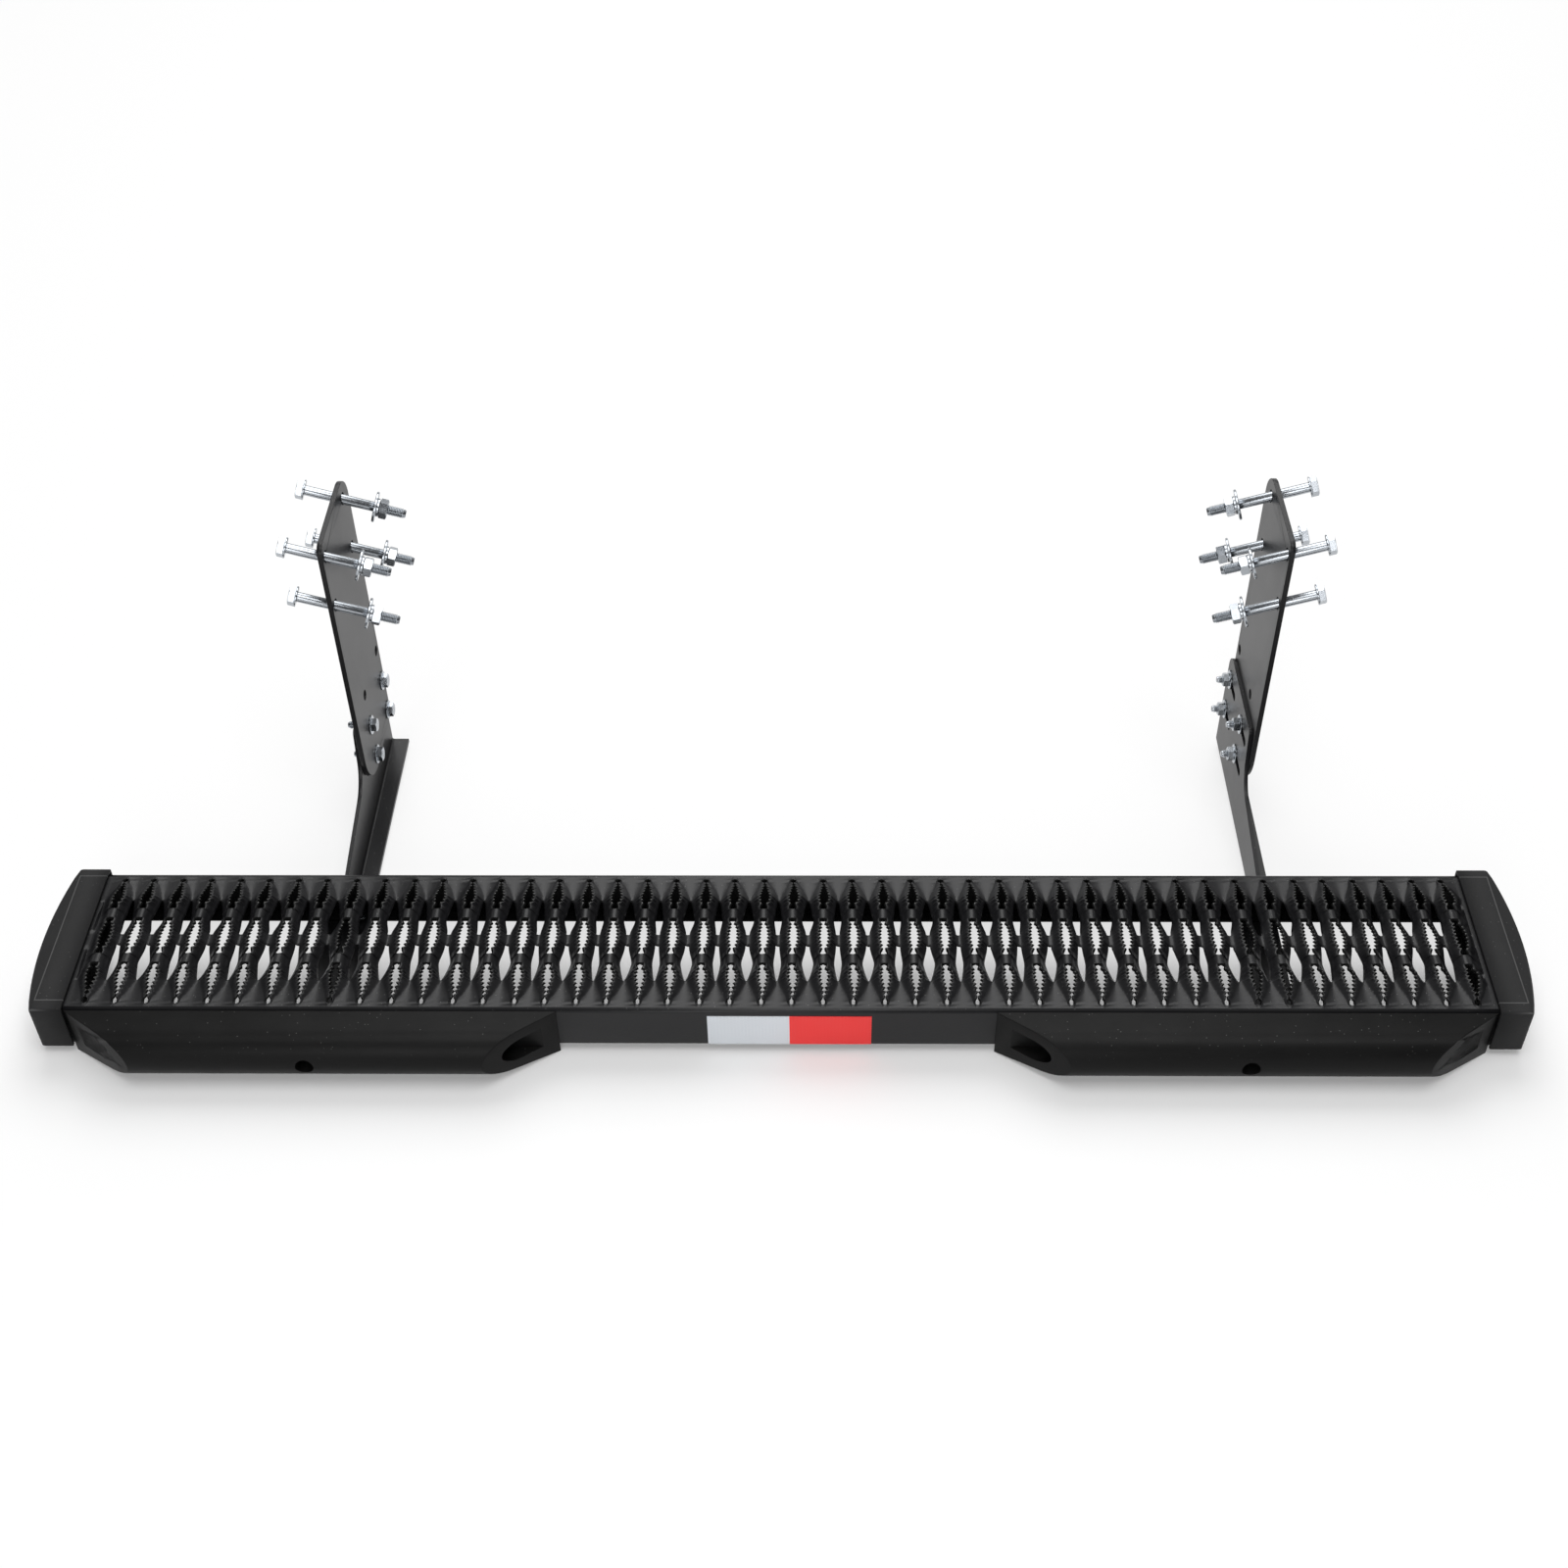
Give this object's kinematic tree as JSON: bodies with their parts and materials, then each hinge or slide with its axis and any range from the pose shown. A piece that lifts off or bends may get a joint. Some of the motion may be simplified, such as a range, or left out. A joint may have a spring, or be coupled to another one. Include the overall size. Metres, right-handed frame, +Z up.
{
  "type": "rear bumper step",
  "caption": "Van rear bumper step: grip-tread channel with end caps and rubber D-section pads on two folded arms, each with a slotted frame plate and hanging frame bolts.",
  "frame": {"origin": "middle of the bounding box in plan, on the floor under the pads", "axes": "+X to the right along the tread, +Y from the pads to the vehicle, +Z up"},
  "size_m": [1.406, 0.4754, 0.367],
  "materials": {
    "powder_coat": "satin black powder coat",
    "cap_plastic": "fine moulded grain",
    "pad_rubber": "matte extruded rubber",
    "silver_tape": "retroreflective film",
    "red_tape": "retroreflective film",
    "zinc": "bright zinc plating"
  },
  "bodies": {
    "step": {"tread_plank": "powder_coat", "silver_tape": "silver_tape", "red_tape": "red_tape", "left_end_cap": "cap_plastic", "left_bumper_pad": "pad_rubber", "left_arm": "powder_coat", "right_end_cap": "cap_plastic", "right_bumper_pad": "pad_rubber", "right_arm": "powder_coat", "pad_bolts": "zinc", "pad_head_washers": "zinc", "pad_nut_washers": "zinc", "pad_nuts": "zinc", "foot_bolts": "zinc", "foot_washers": "zinc", "foot_nuts": "zinc"},
    "left_plate": {"left_frame_plate": "powder_coat", "left_slot_bolts": "zinc", "left_slot_head_washers": "zinc", "left_slot_nut_washers": "zinc", "left_slot_nuts": "zinc", "left_frame_bolts": "zinc", "left_frame_head_washers": "zinc", "left_frame_flat_washers": "zinc", "left_frame_spring_washers": "zinc", "left_frame_nuts": "zinc"},
    "right_plate": {"right_frame_plate": "powder_coat", "right_slot_bolts": "zinc", "right_slot_head_washers": "zinc", "right_slot_nut_washers": "zinc", "right_slot_nuts": "zinc", "right_frame_bolts": "zinc", "right_frame_head_washers": "zinc", "right_frame_flat_washers": "zinc", "right_frame_spring_washers": "zinc", "right_frame_nuts": "zinc"}
  },
  "joints": [
    {"name": "left_plate_slide", "type": "slide", "parent": "step", "child": "left_plate", "axis": [0, 1, 0], "range_m": [-0.027, 0]},
    {"name": "right_plate_slide", "type": "slide", "parent": "step", "child": "right_plate", "axis": [0, 1, 0], "range_m": [-0.027, 0]}
  ]
}
